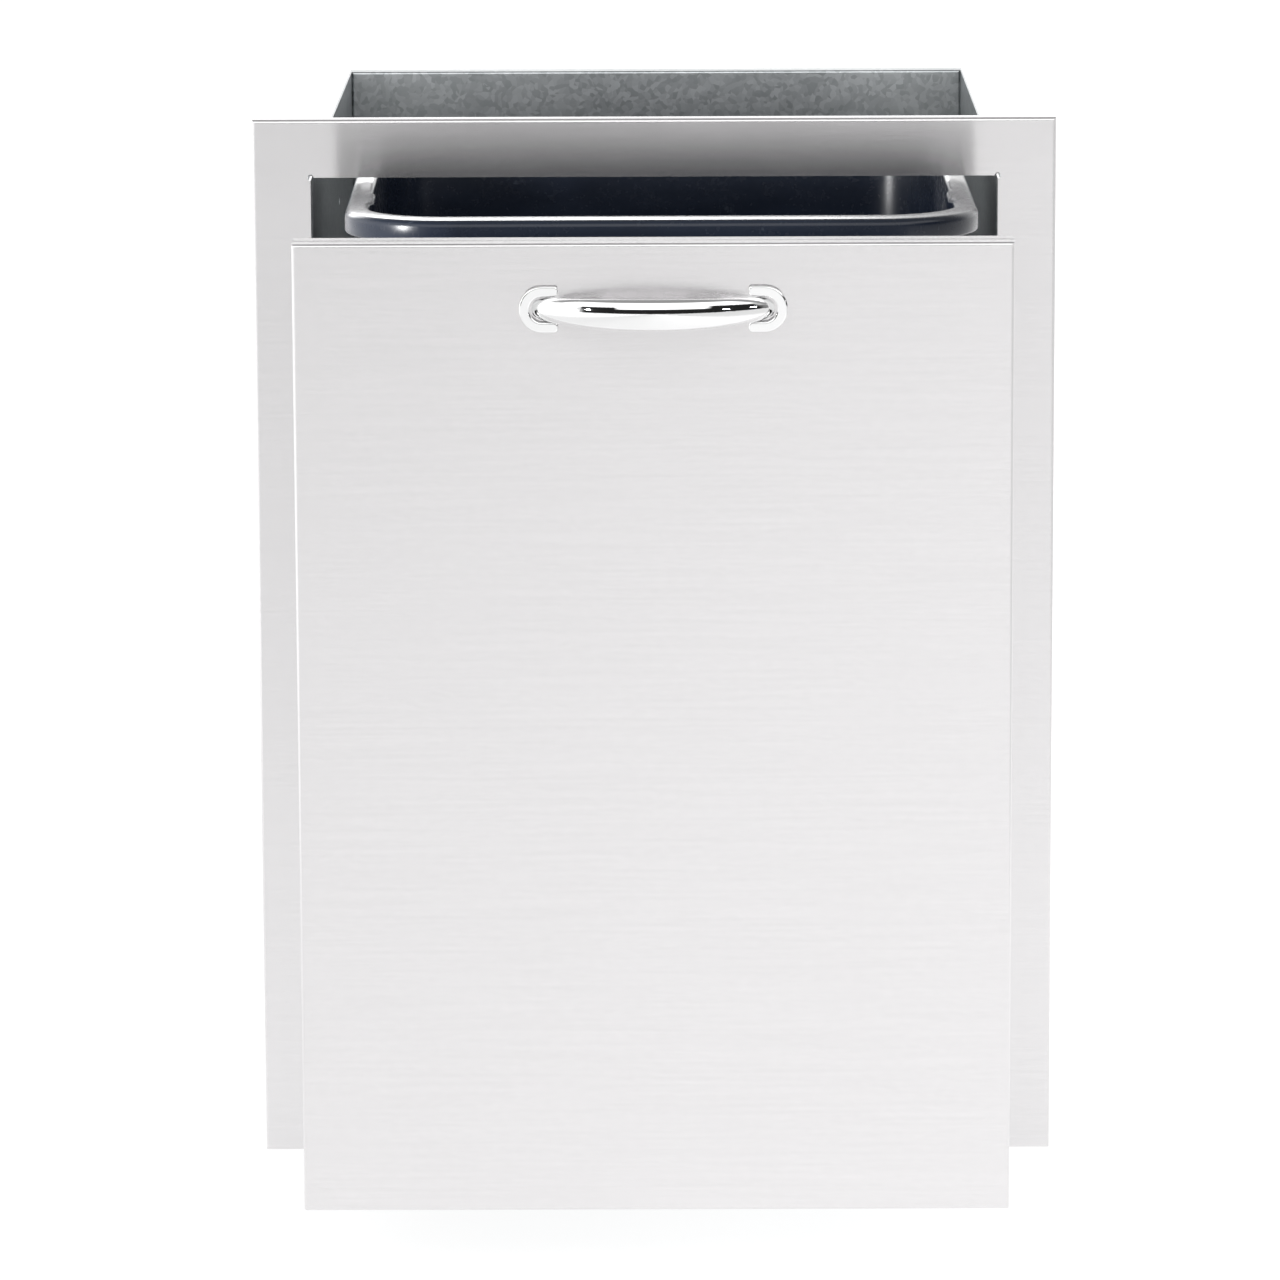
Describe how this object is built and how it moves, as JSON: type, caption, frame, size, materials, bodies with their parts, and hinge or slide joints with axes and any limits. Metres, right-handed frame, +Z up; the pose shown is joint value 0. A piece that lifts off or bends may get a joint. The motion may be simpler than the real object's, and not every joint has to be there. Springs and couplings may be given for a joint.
{
  "type": "pull-out trash drawer",
  "caption": "Built-in pull-out trash drawer: flush steel front with bow handle, flat face frame, open-topped housing, slides and a tall bin.",
  "frame": {"origin": "bottom centre of the face frame's rear edge, in the plane of the island's face", "axes": "+X to the right seen from the front, +Y into the island, +Z up; the drawer opens towards -Y"},
  "size_m": [0.508, 0.939, 0.6715],
  "materials": {
    "stainless": "satin stainless steel, fine horizontal brushing",
    "galvanised": "mottled galvanised sheet, semi-matt",
    "chrome": "polished chrome plate",
    "bin_plastic": "moulded dark blue-grey plastic, glossy",
    "slide_zinc": "bright zinc-plated steel",
    "ball_steel": "ground steel balls",
    "fastener_steel": "plain steel fasteners",
    "pad_rubber": "black rubber pads"
  },
  "bodies": {
    "housing": {"face_frame": "stainless", "back_panel": "galvanised", "floor_pan": "galvanised", "left_side_panel": "galvanised", "left_lower_stop_bracket": "galvanised", "left_upper_stop_bracket": "galvanised", "left_slide_cabinet_member": "slide_zinc", "left_housing_rivets": "fastener_steel", "left_stop_rivets": "fastener_steel", "left_slide_cabinet_rivets": "fastener_steel", "right_side_panel": "galvanised", "right_lower_stop_bracket": "galvanised", "right_upper_stop_bracket": "galvanised", "right_slide_cabinet_member": "slide_zinc", "right_housing_rivets": "fastener_steel", "right_stop_rivets": "fastener_steel", "right_slide_cabinet_rivets": "fastener_steel", "bumper_pads": "pad_rubber"},
    "drawer": {"drawer_front_skin": "stainless", "drawer_front_liner": "galvanised", "carrier_floor": "galvanised", "carrier_back_brace": "galvanised", "bin_stop_front": "galvanised", "bin_stop_rear": "galvanised", "carrier_left_side": "galvanised", "left_slide_drawer_member": "slide_zinc", "left_handle_horseshoe": "chrome", "left_slide_drawer_rivets": "fastener_steel", "left_carrier_rivets": "fastener_steel", "carrier_right_side": "galvanised", "right_slide_drawer_member": "slide_zinc", "right_handle_horseshoe": "chrome", "right_slide_drawer_rivets": "fastener_steel", "right_carrier_rivets": "fastener_steel", "handle_bar": "chrome", "bin": "bin_plastic", "carrier_screws": "fastener_steel", "handle_screws": "fastener_steel"},
    "left_middle_member": {"left_slide_middle_member": "slide_zinc"},
    "left_outer_cage": {"left_outer_ball_cage": "slide_zinc", "left_outer_balls": "ball_steel"},
    "left_inner_cage": {"left_inner_ball_cage": "slide_zinc", "left_inner_balls": "ball_steel"},
    "right_middle_member": {"right_slide_middle_member": "slide_zinc"},
    "right_outer_cage": {"right_outer_ball_cage": "slide_zinc", "right_outer_balls": "ball_steel"},
    "right_inner_cage": {"right_inner_ball_cage": "slide_zinc", "right_inner_balls": "ball_steel"}
  },
  "joints": [
    {"name": "drawer_slide", "type": "slide", "parent": "housing", "child": "drawer", "axis": [0, -1, 0], "range_m": [-0.29, 0.24]},
    {"name": "left_middle_member_slide", "type": "slide", "parent": "housing", "child": "left_middle_member", "axis": [0, -1, 0], "range_m": [-0.145, 0.12]},
    {"name": "left_outer_cage_slide", "type": "slide", "parent": "housing", "child": "left_outer_cage", "axis": [0, -1, 0], "range_m": [-0.0725, 0.06]},
    {"name": "left_inner_cage_slide", "type": "slide", "parent": "housing", "child": "left_inner_cage", "axis": [0, -1, 0], "range_m": [-0.2175, 0.18]},
    {"name": "right_middle_member_slide", "type": "slide", "parent": "housing", "child": "right_middle_member", "axis": [0, -1, 0], "range_m": [-0.145, 0.12]},
    {"name": "right_outer_cage_slide", "type": "slide", "parent": "housing", "child": "right_outer_cage", "axis": [0, -1, 0], "range_m": [-0.0725, 0.06]},
    {"name": "right_inner_cage_slide", "type": "slide", "parent": "housing", "child": "right_inner_cage", "axis": [0, -1, 0], "range_m": [-0.2175, 0.18]}
  ],
  "couplings": [
    {"joint": "left_middle_member_slide", "follows": "drawer_slide", "ratio": 0.5},
    {"joint": "left_outer_cage_slide", "follows": "drawer_slide", "ratio": 0.25},
    {"joint": "left_inner_cage_slide", "follows": "drawer_slide", "ratio": 0.75},
    {"joint": "right_middle_member_slide", "follows": "drawer_slide", "ratio": 0.5},
    {"joint": "right_outer_cage_slide", "follows": "drawer_slide", "ratio": 0.25},
    {"joint": "right_inner_cage_slide", "follows": "drawer_slide", "ratio": 0.75}
  ]
}
